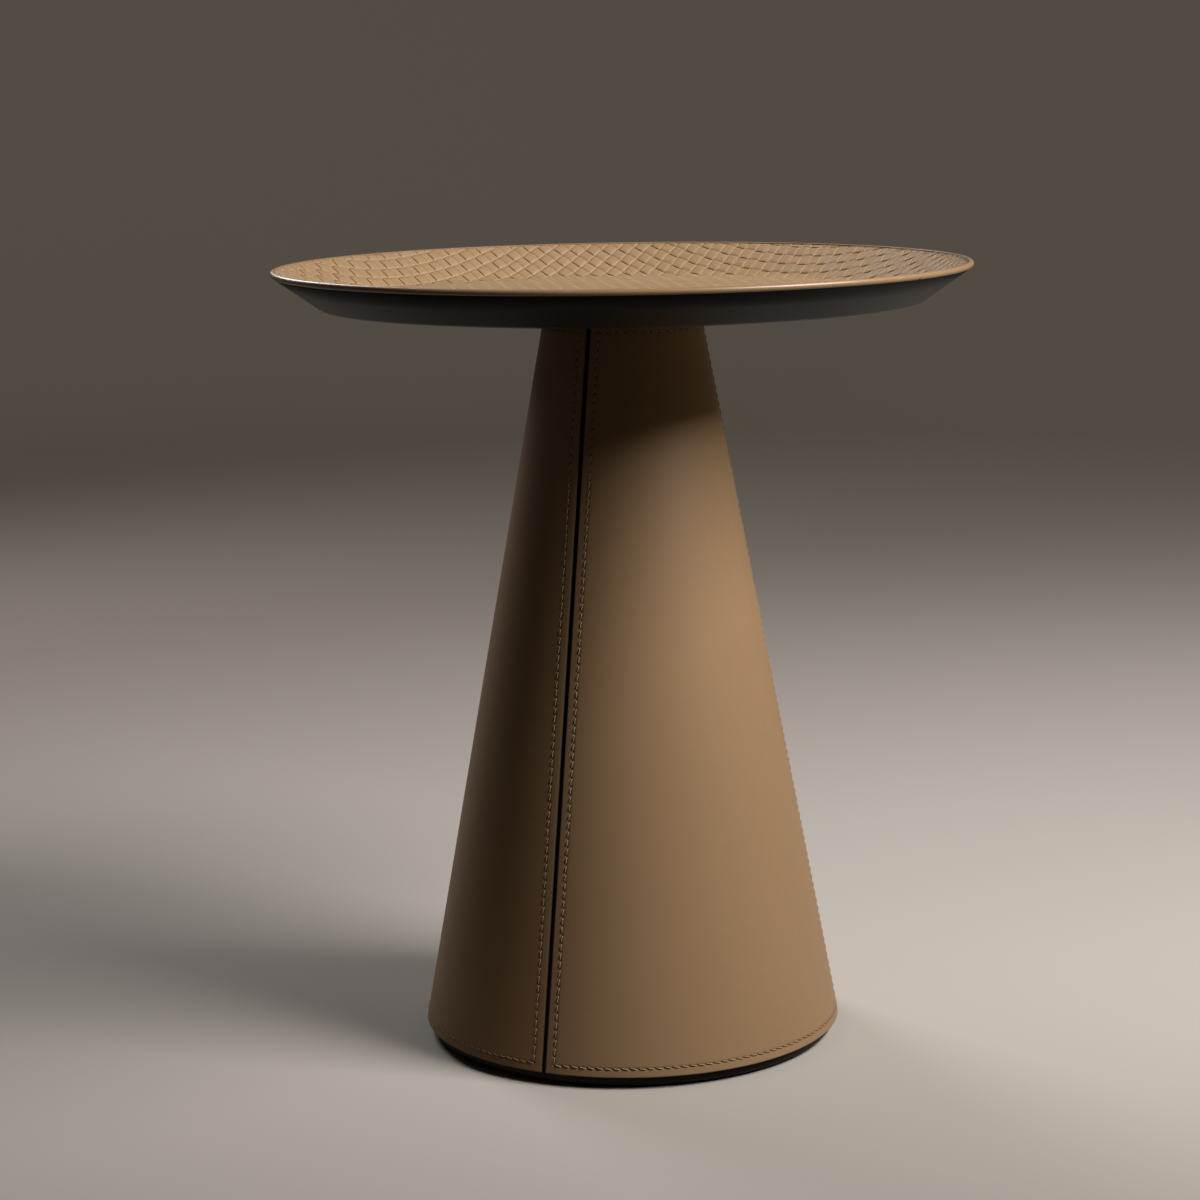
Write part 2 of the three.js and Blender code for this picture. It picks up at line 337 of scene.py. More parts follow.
def row_holes(cone, across, count, other):
    """Needle holes of one stitched row, as ellipses round the whole numbers of its count."""
    beside = (across - cone.stitch_margin) / HOLE_HALF_WIDTH
    along = count.to_whole() * (cone.stitch_pitch / HOLE_HALF_LENGTH)
    end = cone.stitch_margin - ROW_OVERRUN
    holes = 1 - (beside * beside + along * along).fade(0.35, 1.15)
    return holes * other.fade(end - ROW_FADE, end)


def panel_leather(colour, cone):
    """Saddle leather with needle holes along the rows, painted dark as shaded hollows, painted shade
    beside the stitched rows and a darker cut edge.
    """
    shader = Shader("saddle_leather")
    from_slot, slot_count = shader.map("slot_rows")
    from_hem, hem_count = shader.map("hem_rows")
    slot_holes = row_holes(cone, from_slot, slot_count, from_hem)
    holes = slot_holes.most(row_holes(cone, from_hem, hem_count, from_slot))
    beside_slot_row = (from_slot - cone.stitch_margin).abs()
    beside_row = beside_slot_row.least((from_hem - cone.stitch_margin).abs())
    edge = 1 - from_slot.least(from_hem).fade(0.2 * MM, 0.9 * MM)
    # painted shade: the leather is darker beside each stitched row, where the thread pulls it into a
    # groove
    shade = beside_row.fade(0.4 * MM, 2.4 * MM).between(0.9, 1)
    toned_leather = shader.scaled(leather_tone(shader, colour), shade)
    cut = shader.mix(edge, toned_leather, CUT_EDGE_TONE, share=0.8)
    # painted shade: the needle holes are darkened as shaded hollows
    holes_shaded = shader.mix(holes, cut, HOLE_SHADE_TONE, share=0.86)
    dents = shader.bump(1 - holes, HOLE_DEPTH, strength=0.9)
    roughness = shader.noise(per_metre=60, detail=3).between(0.47, 0.57) + holes * 0.25
    return shader.finish(
        base_color=holes_shaded, roughness=roughness, normal=leather_grain(shader, dents),
        specular_ior_level=0.32)


def strip_leather(colour):
    """Leather of the woven strips: each has its tone, its cut sides are paler, and painted shade darkens
    it where it lies under another."""
    shader = Shader("woven_leather")
    across = shader.map("strip")[0]
    side = (across - 0.5).abs().fade(0.47, 0.49)
    # painted shade: darker where the strip dips under a crossing strip
    painted_shade_under = 1 - shader.attribute("lift").fade(-0.95, -0.6)
    fibres = shader.noise(per_metre=240, detail=3).between(0.97, 1.03)
    tone = (1 + shader.attribute("tone") * STRIP_TONE_SPREAD) * fibres
    body = shader.scaled(leather_tone(shader, colour), tone)
    toned_leather = shader.mix(side, body, STRIP_SIDE_TONE, share=0.12)
    dark = shader.mix(painted_shade_under, toned_leather, UNDER_SHADE_TONE, share=0.6)
    roughness = shader.noise(per_metre=90, detail=3).between(0.37, 0.49)
    return shader.finish(
        base_color=dark, roughness=roughness, normal=leather_grain(shader), specular_ior_level=0.5)


def bead_leather(colour, middle_z):
    """Leather bead with painted shade darkening its underside, and faint rubs all over."""
    shader = Shader("bead_leather")
    height = shader.axis(shader.place, "Z")
    under = 1 - height.fade(middle_z - UNDERSIDE_SHADE_START, middle_z - UNDERSIDE_SHADE_END)
    rubs = shader.noise(per_metre=46, detail=4).fade(0.56, 0.74)
    rubbed = shader.mix(rubs, leather_tone(shader, colour), RUBBED_TONE, share=0.16)
    # painted shade: the bead's underside is darkened where less light reaches it
    underside_shaded = shader.mix(under, rubbed, UNDERSIDE_SHADE_TONE, share=0.78)
    roughness = shader.noise(per_metre=120, detail=3).between(0.26, 0.38)
    return shader.finish(
        base_color=underside_shaded, roughness=roughness, normal=leather_grain(shader),
        specular_ior_level=0.6)


def waxed_thread(colour):
    """Twisted thread: slanting plies, with painted shade in the dark lines between them."""
    shader = Shader("thread")
    around, along = shader.map("twist")
    plies = ((around + along) * FULL_TURN).sine().abs()
    # painted shade in the grooves between the plies, and a little painted light on their crests
    tone = shader.scaled(colour, plies.between(0.72, 1.06))
    roughness = shader.noise(per_metre=900, detail=1).between(0.55, 0.65)
    normal = shader.bump(plies, PLY_DEPTH, strength=0.8)
    return shader.finish(
        base_color=tone, roughness=roughness, normal=normal, specular_ior_level=0.35)


def powder_coat(name, colour, roughness, dust, level):
    """Powder coated metal: fine orange peel, a little dust and softly uneven gloss. The specular
    level says how strongly it reflects."""
    shader = Shader(name)
    peel = shader.noise(per_metre=1300, detail=2)
    flecks = shader.noise(per_metre=420, detail=4).fade(0.66, 0.78)
    clouds = shader.noise(per_metre=7, detail=2)
    tone = shader.scaled(colour, clouds.between(0.9, 1.1))
    dusty = shader.mix(flecks, tone, DUST_TONE, share=dust)
    uneven = roughness + clouds.between(-0.04, 0.04) + peel.between(-0.05, 0.05)
    normal = shader.bump(peel, PEEL_DEPTH, strength=0.6)
    return shader.finish(
        base_color=dusty, roughness=uneven, normal=normal, specular_ior_level=level)


def pressed_felt(colour):
    """Pressed felt: tangled light and dark fibres."""
    shader = Shader("felt")
    fibres = shader.noise(per_metre=1700, detail=4)
    knots = shader.noise(per_metre=320, detail=3)
    tone = shader.scaled(colour, 0.5 + fibres + knots * 0.3)
    normal = shader.bump(fibres + knots, FELT_DEPTH, strength=0.9)
    return shader.finish(base_color=tone, roughness=0.95, normal=normal)


def zinc_plate(colour):
    """Bright zinc: fine turning marks and a mottled sheen."""
    shader = Shader("zinc_steel")
    marks = shader.noise(per_metre=240, detail=2, place=shader.stretched((1.0, 1.0, 9.0)))
    mottle = shader.noise(per_metre=130, detail=3).between(0.85, 1.15)
    normal = shader.bump(marks, TURNING_DEPTH, strength=0.5)
    return shader.finish(
        base_color=shader.scaled(colour, mottle), metallic=1.0, roughness=marks.between(0.26, 0.46),
        normal=normal)


# Share of the light that the plaster carries on to the table, by its place along X: at the far
# left, and then each change as its start, its end and its amount
FAR_LEFT_BOUNCE = 0.21
BOUNCE_CHANGES = ((-0.6, -0.3, 0.1), (-0.15, 0.15, -0.22), (0.3, 0.6, 0.54))


def stage_paint(colour, backdrop):
    """Plain plaster, pale on the floor and greyer on the backdrop, with painted shade as the floor goes
    back and towards the camera, and a faint painted glow on the backdrop. Rays that only carry its light
    on to the table meet a darker plaster: the darkest is close to the foot on the right, as if black
    cards lay there, and the palest is further out on that side."""
    shader = Shader("stage_plaster")
    seen = shader.light_path("Is Camera Ray").most(shader.light_path("Is Glossy Ray"))
    seen = seen.most(shader.light_path("Is Transmission Ray"))
    aside = shader.axis(shader.place, "X")
    ahead = shader.axis(shader.place, "Y")
    # painted shade: the plaster blends towards the darker backdrop tone as it goes back
    back = (ahead - aside * 0.8).fade(0.3, 2.2)
    changes = [aside.fade(start, end) * amount for start, end, amount in BOUNCE_CHANGES]
    bounce = sum(changes, FAR_LEFT_BOUNCE)
    clouds = shader.noise(per_metre=0.9, detail=4).between(0.965, 1.035)
    # painted shade: the floor is darker towards the camera
    near_shade = ahead.fade(-0.75, 0.25).between(0.56, 1)
    tone = clouds * (bounce * (1 - seen) + seen) * near_shade
    plain = shader.mix(back, colour, backdrop)
    warmed = shader.mix(seen, CARRIED_TONE, plain)
    # painted glow: the backdrop gives off a faint light of its own towards the camera
    return shader.finish(
        base_color=shader.scaled(warmed, tone), roughness=0.85, specular_ior_level=0.2,
        emission_color=shader.scaled(GLOW_TONE, back * seen), emission_strength=1.0)


# Meshes

WELD_REACH = 0.01 * MM
EASE_SEGMENTS = 2
EASE_ANGLE = math.radians(32)  # the least turn between two faces whose edge is eased
FITTING_COUNT = 4  # of each kind of fitting, from the glides to the nuts


def smooth(share):
    """0 up to 0, 1 from 1 on, and s^2 (3 - 2s) between them."""
    share = np.clip(share, 0, 1)
    return share ** 2 * (3 - 2 * share)


def grid_faces(rows, columns, wrap_rows=False, wrap_columns=False, start=0):
    """Quads of a grid of points that runs row by row. They face along column step x row step."""
    row = np.arange(rows if wrap_rows else rows - 1)[:, None]
    column = np.arange(columns if wrap_columns else columns - 1)[None, :]
    next_row = (row + 1) % rows
    next_column = (column + 1) % columns
    corners = [
        row * columns + column,
        row * columns + next_column,
        next_row * columns + next_column,
        next_row * columns + column,
    ]
    return start + np.stack(corners, -1).reshape(-1, 4)


def make_piece(name, points, faces, maps=None, values=None):
    """A smooth mesh object from points and faces, with maps of two coordinates for each point and
    values of one number for each."""
    mesh = bpy.data.meshes.new(name)
    mesh.from_pydata(points.reshape(-1, 3), [], faces)
    corners = np.zeros(len(mesh.loops), np.int32)
    mesh.loops.foreach_get("vertex_index", corners)
    for map_name, coordinates in (maps or {}).items():
        layer = mesh.uv_layers.new(name=map_name)
        layer.data.foreach_set("uv", coordinates.reshape(-1, 2)[corners].astype(np.float32).ravel())
    for value_name, numbers in (values or {}).items():
        attribute = mesh.attributes.new(value_name, "FLOAT", "POINT")
        attribute.data.foreach_set("value", numbers.astype(np.float32).ravel())
    mesh.shade_smooth()
    mesh.validate()
    made = bpy.data.objects.new(name, mesh)
    bpy.context.scene.collection.objects.link(made)
    return made


def round_points(radius, angle, height):
    """Points round the Z axis: x = r cos a, y = r sin a, z = h."""
    return np.stack([radius * np.cos(angle), radius * np.sin(angle), height + 0 * angle], -1)


def turned_points(profile, steps):
    """A profile of radii and heights carried round the Z axis."""
    angle = np.linspace(0, FULL_TURN, steps, endpoint=False)[:, None]
    return round_points(profile[None, :, 0], angle, profile[None, :, 1])


def turned_disc(name, profile, steps, centre=(0.0, 0.0)):
    """A solid of revolution whose profile starts on the axis below and ends on it above. Each pole
    is one point, joined to its ring by triangles."""
    rings = turned_points(profile[1:-1], steps)
    columns = len(profile) - 2
    poles = np.array([[0, 0, profile[0, 1]], [0, 0, profile[-1, 1]]])
    points = np.concatenate([rings.reshape(-1, 3), poles]) + np.array([*centre, 0.0])
    first = np.arange(steps) * columns
    second = (first + columns) % (steps * columns)
    below, above = steps * columns, steps * columns + 1
    fans = [
        np.stack([np.full(steps, below), second, first], -1),
        np.stack([np.full(steps, above), first + columns - 1, second + columns - 1], -1),
    ]
    sides = grid_faces(steps, columns, wrap_rows=True)[:, ::-1]
    faces = [*sides.tolist(), *fans[0].tolist(), *fans[1].tolist()]
    return make_piece(name, points, faces)


def dress(piece, material, replaced=()):
    """Gives a new piece its material in a material slot, attaches it to its body, and hides the nodes it
    stands for.
    """
    piece.data.materials.append(material)
    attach(piece, "root")
    if replaced:
        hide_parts(*replaced)


def dress_node(name, material, edge):
    """Gives a kept node its material, with its points welded and its edges eased by modifiers."""
    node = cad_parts[name]
    node.data.materials.clear()
    node.data.materials.append(material)
    node.data.shade_smooth()
    node.modifiers.new("weld", "WELD").merge_threshold = WELD_REACH
    ease = node.modifiers.new("ease", "BEVEL")
    ease.width = edge
    ease.segments = EASE_SEGMENTS
    ease.limit_method = "ANGLE"
    ease.angle_limit = EASE_ANGLE
    ease.harden_normals = True


def numbered(kind):
    """Names of the nodes of one kind of fitting."""
    return [f"{kind}_{i + 1}" for i in range(FITTING_COUNT)]


# Cone

PANEL_COUNT = 3
GROOVE_DEPTH = 0.28 * MM
GROOVE_WIDTH = 0.95 * MM  # from the channel's middle to where it is about a third as deep
GROOVE_REACH = 2.1 * MM  # to each side of the stitched row, where the lines of points are closer
SEAM_WIDTH = 13 * MM  # from a panel's edge to where its evenly spaced middle starts
WAVE_HEIGHT = 0.06 * MM

# Slow waves of the leather: radians for a radian round, for a metre up and for the panel's number
SLOW_WAVES = ((5, 9, 0), (-3, 23, 1))

# Lines of points over the rounded edge, from it to the groove, across the groove and past it
EDGE_LINES, MARGIN_LINES, GROOVE_LINES, INNER_LINES = 6, 5, 15, 4
MIDDLE_ROWS, MIDDLE_COLUMNS = 66, 44

# Thread: points of a stitch, its place over the leather's face and how far stitches differ
THREAD_SIDES = 6
THREAD_RINGS = 7
THREAD_SINK = 0.62 * MM  # how deep a stitch's ends lie under the leather's face
THREAD_RISE = 0.16 * MM  # how high its middle line stands over the face
LENGTH_SPREAD = 0.06
SLANT_SPREAD = 0.16
SHIFT_SPREAD = 0.1 * MM
PLY_TURNS = 1.6  # of the plies along one stitch


def cone_slope(cone):
    """Angle between the cone's side and the upright."""
    return math.atan2(cone.base_radius - cone.top_radius, UNDERSIDE_Z - HEM_Z)


def slant_length(cone):
    return (LEATHER_TOP_Z - HEM_Z) / math.cos(cone_slope(cone))


def slant_radius(cone, slant):
    """Radius of the leather's face at a distance up the side from the hem."""
    return cone.base_radius - slant * math.sin(cone_slope(cone))


def cone_normals(cone, angle):
    """Outward directions of the cone's side."""
    slope = cone_slope(cone)
    return round_points(math.cos(slope), angle, math.sin(slope))


def cone_points(cone, slant, angle, depth):
    """Points at a distance up the side and an angle, at a depth below the leather's face."""
    slant, angle, depth = np.broadcast_arrays(slant, angle, depth)
    height = HEM_Z + slant * math.cos(cone_slope(cone))
    face = round_points(slant_radius(cone, slant), angle, height)
    return face - cone_normals(cone, angle) * depth[..., None]


def beside_slot(cone, slant, distance):
    """Angle between a slot's middle plane and a line that runs beside it on the panel, at a
    distance from the panel's edge: the arc sine of the distance from the plane over the radius."""
    return np.arcsin((cone.slot_width / 2 + distance) / slant_radius(cone, slant))


def panel_angles(cone, index):
    """Angles of the slots at the start and the end of a panel."""
    step = FULL_TURN / PANEL_COUNT
    start = cone.seam_turn + index * step
    return start, start + step


def seam_steps(cone):
    """Distances from an edge at which the panel has lines of points: by a cosine round the edge,
    close together in the groove, and evenly elsewhere."""
    groove_start = cone.stitch_margin - GROOVE_REACH
    groove_end = cone.stitch_margin + GROOVE_REACH
    turn = np.linspace(0, QUARTER_TURN, EDGE_LINES)
    return np.concatenate([
        cone.edge_round * (1 - np.cos(turn)),
        np.linspace(cone.edge_round, groove_start, MARGIN_LINES)[1:],
        np.linspace(groove_start, groove_end, GROOVE_LINES)[1:],
        np.linspace(groove_end, SEAM_WIDTH, INNER_LINES)[1:],
    ])


def rounded_edge(cone, distance):
    """Depth of a quarter circle that rounds the edge: R - sqrt(R^2 - (R - x)^2)."""
    short = np.clip(cone.edge_round - distance, 0, None)
    return cone.edge_round - np.sqrt(cone.edge_round ** 2 - short ** 2)


def groove(cone, distance, other):
    """Depth of the channel that the thread pulls into the leather: a bell curve across the row,
    which ends where the other row begins."""
    across = np.exp(-((distance - cone.stitch_margin) / GROOVE_WIDTH) ** 2)
    return GROOVE_DEPTH * across * smooth((other - cone.stitch_margin) / GROOVE_WIDTH + 1)


def row_count(cone, length):
    """Whole stitches between the corners of a row, and their true pitch."""
    count = round(length / cone.stitch_pitch)
    return count, length / count


def panel_surface(cone, index):
    """Points, maps and faces of one panel. The outer sheet is the cone's face less the edge
    rounding, the grooves and slow waves, and the inner sheet lies one thickness below."""
    start, end = panel_angles(cone, index)
    length = slant_length(cone)
    margin = cone.stitch_margin
    near = seam_steps(cone)
    middle_rows = np.linspace(near[-1], length - near[-1], MIDDLE_ROWS)[1:-1]
    slant = np.concatenate([near, middle_rows, length - near[::-1]])[:, None]
    first = start + beside_slot(cone, slant, near[None, :])
    last = end - beside_slot(cone, slant, near[None, ::-1])
    share = np.linspace(0, 1, MIDDLE_COLUMNS)[None, 1:-1]
    between = first[:, -1:] * (1 - share) + last[:, :1] * share
    angle = np.concatenate([first, between, last], 1)
    slant = np.broadcast_to(slant, angle.shape)
    radius = slant_radius(cone, slant)
    from_start = radius * np.sin(np.minimum(angle - start, QUARTER_TURN))
    from_end = radius * np.sin(np.minimum(end - angle, QUARTER_TURN))
    from_slot = np.clip(np.minimum(from_start, from_end) - cone.slot_width / 2, 0, None)
    from_hem = np.clip(np.minimum(slant, length - slant), 0, None)
    waves = sum(
        np.sin(turns * angle + rise * slant + offset * index) for turns, rise, offset in SLOW_WAVES)
    calm = np.clip(np.minimum(from_slot, from_hem) / SEAM_WIDTH, 0, 1)
    depth = (
        rounded_edge(cone, from_slot) + rounded_edge(cone, from_hem)
        + groove(cone, from_slot, from_hem) + groove(cone, from_hem, from_slot)
        + WAVE_HEIGHT * (1 + waves / 2) * calm
    )
    outer = cone_points(cone, slant, angle, depth)
    inner = cone_points(cone, slant, angle, cone.panel_thickness)
    rows, columns = angle.shape
    sheet = grid_faces(rows, columns)
    number = np.arange(rows * columns).reshape(rows, columns)
    border = np.concatenate([number[0, :-1], number[:-1, -1], number[-1, :0:-1], number[:0:-1, 0]])
    following = np.roll(border, -1)
    shift = rows * columns
    rim = np.stack([border, border + shift, following + shift, following], -1)
    faces = np.concatenate([sheet, sheet[:, ::-1] + shift, rim])
    slot_count = (slant - margin) / row_count(cone, length - 2 * margin)[1]
    low_count, high_count = (arc_count(cone, index, row, angle) for row in (margin, length - margin))
    hem_count = np.where(slant > length / 2, high_count, low_count)
    slot_map = np.stack([from_slot, slot_count], -1)
    hem_map = np.stack([from_hem, hem_count], -1)
    maps = {"slot_rows": np.stack([slot_map, slot_map]), "hem_rows": np.stack([hem_map, hem_map])}
    return np.stack([outer, inner]), maps, faces


def arc_row(cone, index, slant):
    """Start angle, whole stitches and angle for each of the level row at a distance up the side."""
    start, end = panel_angles(cone, index)
    inset = float(beside_slot(cone, slant, cone.stitch_margin))
    radius = slant_radius(cone, slant)
    count, pitch = row_count(cone, (end - start - 2 * inset) * radius)
    return start + inset, count, pitch / radius


def arc_count(cone, index, slant, angle):
    """How many stitches of a level row lie before an angle."""
    start, _, step = arc_row(cone, index, slant)
    return (angle - start) / step


def stitch_places(cone, index):
    """Middle, direction along the row and outward direction of each stitch of a panel. Each row
    gives the places of its stitches and of the next point along it."""
    length = slant_length(cone)
    margin = cone.stitch_margin
    start, end = panel_angles(cone, index)
    count, pitch = row_count(cone, length - 2 * margin)
    up_side = margin + (np.arange(count) + 0.5) * pitch
    rows = []
    for side, edge in ((1, start), (-1, end)):
        angles = [edge + side * beside_slot(cone, slant, margin) for slant in (up_side, up_side + pitch)]
        rows.append([up_side, angles[0], up_side + pitch, angles[1]])
    for row in (margin, length - margin):
        first, level_count, step = arc_row(cone, index, row)
        level = first + (np.arange(level_count) + 0.5) * step
        slant = np.full(level_count, row)
        rows.append([slant, level, slant, level + step / 2])
    slant, angle, next_slant, next_angle = (np.concatenate(part) for part in zip(*rows))
    middle = cone_points(cone, slant, angle, 0.0)
    outward = cone_normals(cone, angle)
    along = cone_points(cone, next_slant, next_angle, 0.0) - middle
    along -= (along * outward).sum(-1, keepdims=True) * outward
    along /= np.linalg.norm(along, axis=-1, keepdims=True)
    return middle, along, outward


def stitch_surface(cone, index, rng):
    """All stitches of a panel. A stitch's line runs from hole to hole with a slant across the row,
    and its height is rise - (rise + sink) |2t - 1|^3. A round section follows the line."""
    middle, along, outward = stitch_places(cone, index)
    count = len(middle)
    across = np.cross(along, outward)
    share = np.linspace(0, 1, THREAD_RINGS)
    bow = 1 - np.abs(2 * share - 1) ** 3
    height = -THREAD_SINK + (THREAD_RISE + THREAD_SINK) * bow
    lean = np.arctan(np.gradient(height, share) / cone.stitch_length)[None, :, None]
    length = cone.stitch_length * (1 + LENGTH_SPREAD * rng.standard_normal((count, 1, 1)))
    slant = cone.stitch_slant * (1 + SLANT_SPREAD * rng.standard_normal((count, 1, 1)))
    shift = SHIFT_SPREAD * rng.standard_normal((count, 1, 1))
    step = (share - 0.5)[None, :, None]
    line = (
        middle[:, None] + along[:, None] * length * step
        + across[:, None] * (slant * step + shift) + outward[:, None] * height[None, :, None]
    )
    turn = np.linspace(0, FULL_TURN, THREAD_SIDES, endpoint=False)
    level = across[:, None] + 0 * line
    lift = outward[:, None] * np.cos(lean) - along[:, None] * np.sin(lean)
    ring = level[:, :, None] * np.cos(turn)[:, None] + lift[:, :, None] * np.sin(turn)[:, None]
    points = line[:, :, None] + cone.thread_diameter / 2 * ring
    size = THREAD_RINGS * THREAD_SIDES
    tube = grid_faces(THREAD_RINGS, THREAD_SIDES, wrap_columns=True)[:, ::-1]
    shifts = np.arange(count)[:, None, None] * size
    sides = (tube[None] + shifts).reshape(-1, 4)
    first_ring = np.arange(THREAD_SIDES)
    ends = np.stack([first_ring, first_ring[::-1] + size - THREAD_SIDES])
    caps = (ends[None] + shifts).reshape(-1, THREAD_SIDES)
    twist = np.stack(np.broadcast_arrays(turn / FULL_TURN, share[:, None] * PLY_TURNS), -1)
    maps = {"twist": np.broadcast_to(twist, (count, *twist.shape))}
    return points, maps, [*sides.tolist(), *caps.tolist()]


# Tray

BEND_RADIUS = 10 * MM  # of the dish's outer face
LINING_BEND_RADIUS = 14 * MM
BEND_STEPS = 13
FLOOR_RINGS = (0.25, 0.5, 0.75)  # of the dish, as shares of its flat floor

# Shares of a cell at which a strip has a line of points, where it lies over and where under
OVER_SHARES = np.array([0, 0.045, 0.085, 0.125, 0.175, 0.28, 0.5, 0.72, 0.825, 0.875, 0.915, 0.955])
UNDER_SHARES = np.array([0, 0.08, 0.5, 0.92])

DIVE_START = 0.88 * MM  # how far inside its own cell a strip's dive has its middle
DIVE_LENGTH = 0.72 * MM
CROWN = 0.12 * MM  # how far a strip bulges in the middle of each cell that it covers
FLATTENED_SHARE = 0.42  # of the weave's height that is left on the floor and at the lip
FLOOR_FADE = 12 * MM  # over which the weave gains its height before the flare
LIP_FADE = 4.5 * MM  # over which it loses it again at the lip
SIDE_BEVEL = 0.15 * MM  # of a strip's upper edges
SUPPORT_SHARE = 0.24  # of a strip's width, from its sides to the lines that hold its crown
SIDE_INSET = 1 * MM  # how far inside the round of the lip a strip's side stays
END_EASE = 1.2 * MM  # before a strip's end, where its lines of points draw closer
NARROWEST_STRIP = 1 * MM

# Two small nicks in the lip at the front right: angle from +X, width and depth
LIP_NICKS = ((math.radians(-37.6), 1.1 * MM, 0.5 * MM), (math.radians(-20.5), 0.9 * MM, 0.4 * MM))
BEAD_SIDES = 28
BEAD_STEPS = 4 * ROUND_STEPS
BEAD_FLAT_BULGE = 0.4 * MM
BEAD_UNEVENNESS = 0.012
BEAD_WAVES = (37, 11)  # of the unevenness, once round the tray


def layers_thickness(tray):
    return tray.dish_thickness + SEAT_GAP + tray.lining_thickness


def flare(tray):
    """Slope angle of the flare, and the middle of the bead at its end as radius and height."""
    bead = tray.bead_diameter / 2
    middle = np.array([LIP_RADIUS - bead, LIP_TOP_Z - bead])
    run = middle - np.array([tray.floor_radius, UNDERSIDE_Z])
    reach = float(np.hypot(*run))
    return math.atan2(run[1], run[0]) - math.asin(layers_thickness(tray) / 2 / reach), middle


def flare_directions(slope):
    """Directions up the flare and square to it towards the tray's inside, as radius and height."""
    along = np.array([math.cos(slope), math.sin(slope)])
    return along, np.array([-along[1], along[0]])


def lining_section(tray, radius):
    """Height and slope of the lining's middle at a distance from the axis: level over the floor,
    an arc through the bend, and a straight flare."""
    slope, bead = flare(tray)
    inward = flare_directions(slope)[1]
    depth = tray.dish_thickness + SEAT_GAP + tray.lining_thickness / 2
    level = UNDERSIDE_Z + depth
    end = bead + inward * (depth - layers_thickness(tray) / 2)
    corner = end[0] - (end[1] - level) / math.tan(slope)
    start = corner - LINING_BEND_RADIUS * math.tan(slope / 2)
    past = np.clip(radius - start, 0, LINING_BEND_RADIUS * math.sin(slope))
    bend = LINING_BEND_RADIUS - np.sqrt(LINING_BEND_RADIUS ** 2 - past ** 2)
    beyond = np.clip(radius - start - LINING_BEND_RADIUS * math.sin(slope), 0, None)
    return level + bend + beyond * math.tan(slope), np.arcsin(past / LINING_BEND_RADIUS)


def strip_section(tray, pitch, line, reach):
    """Places across a strip and heights over its middle, from the left side over the top to the
    right. A strip at the lip is cut narrower, so that it stays inside."""
    half = (pitch - tray.strip_gap) / 2
    top = tray.strip_thickness / 2
    left = min(half, reach - SIDE_INSET - line)
    right = max(-half, -reach + SIDE_INSET - line)
    support = (left - right) * SUPPORT_SHARE
    across = [left, left, left - SIDE_BEVEL, left - support, (left + right) / 2,
              right + support, right + SIDE_BEVEL, right, right]
    height = [-top, top - SIDE_BEVEL, top, top, top, top, top, top - SIDE_BEVEL, -top]
    return np.array(across), np.array(height), left - right


def height_left(tray, radius, reach):
    """Share of the weave's height at a distance from the axis: all of it on the flare, less on the
    floor, which is pressed flat, and at the lip, where the bead holds the strips down."""
    flared = smooth((radius - tray.floor_radius) / FLOOR_FADE + 1)
    free = smooth((reach - radius) / LIP_FADE)
    return FLATTENED_SHARE + (1 - FLATTENED_SHARE) * flared * free


def kept_inside(along, ends):
    """Draws places that lie past a strip's round end back to just before it, in their old order."""
    past = np.abs(along) - ends + END_EASE
    eased = ends - END_EASE ** 2 / (END_EASE + np.clip(past, 0, None))
    return np.sign(along) * np.where(past > 0, eased, np.abs(along))


def weave_lift(cells, length, parity):
    """Rise of a strip's middle at a place along it in cells, from -1 under to 1 over: the
    hyperbolic tangent of the distance inside the nearest cell that the strip covers. With it comes
    the share of the crown, a parabola over each such cell."""
    cell = np.floor(cells)
    aside = np.abs(cells - cell - 0.5)
    over = np.where((cell + parity) % 2 == 0, 1.0, -1.0)
    inside = (0.5 - aside) * length * over
    crown = np.where(over > 0, 1 - (2 * aside) ** 2, 0.0)
    return np.tanh((inside - DIVE_START) / DIVE_LENGTH), crown


def strip_rows(parity, low, high):
    """Places along a strip in cells at which it has a line of points, more at each dive."""
    cells = np.arange(math.floor(low), math.ceil(high) + 1)
    rows = [cell + (OVER_SHARES if (cell + parity) % 2 == 0 else UNDER_SHARES) for cell in cells]
    rows = np.concatenate(rows)
    return rows[(rows > low) & (rows < high)]


def strip_surface(tray, own, other, index, parity, reach):
    """One strip: straight in plan, laid on the lining's middle surface, where its section is
    carried along it at the height of the weave. Its rows run along the other family, and its ends
    follow the round lip."""
    length = math.hypot(*own)
    ahead = own / length
    aside = np.array([-ahead[1], ahead[0]])
    skew = float(other @ ahead) / float(other @ aside)
    corner = np.array(tray.weave_start) + (index + 0.5) * other
    line, first = float(corner @ aside), float(corner @ ahead)
    across, height, width = strip_section(tray, abs(float(other @ aside)), line, reach)
    if width < NARROWEST_STRIP:
        return None
    ends = np.sqrt(reach ** 2 - (line + across) ** 2)
    span = ends.max()
    inner = strip_rows(parity, (-span - first) / length, (span - first) / length)
    inner = kept_inside(first + inner[:, None] * length + skew * across, ends)
    along = np.concatenate([-ends[None], inner, ends[None]])
    cells = (along - skew * across - first) / length
    lift, crown = weave_lift(cells, length, parity)
    place = along[..., None] * ahead + (line + across)[None, :, None] * aside
    radius = np.linalg.norm(place, axis=-1)
    level, slope = lining_section(tray, radius)
    towards = place / np.maximum(radius, MM)[..., None]
    normal = np.concatenate([-np.sin(slope)[..., None] * towards, np.cos(slope)[..., None]], -1)
    bulge = 1 - (2 * across / width) ** 2
    crest = tray.weave_rise * lift + CROWN * crown * np.clip(bulge, 0, 1)[None, :]
    offset = crest * height_left(tray, radius, reach) + height[None, :]
    points = np.concatenate([place, level[..., None]], -1) + normal * offset[..., None]
    share = np.broadcast_to((across / width + 0.5)[None, :], along.shape)
    return points, np.stack([share, cells], -1), lift


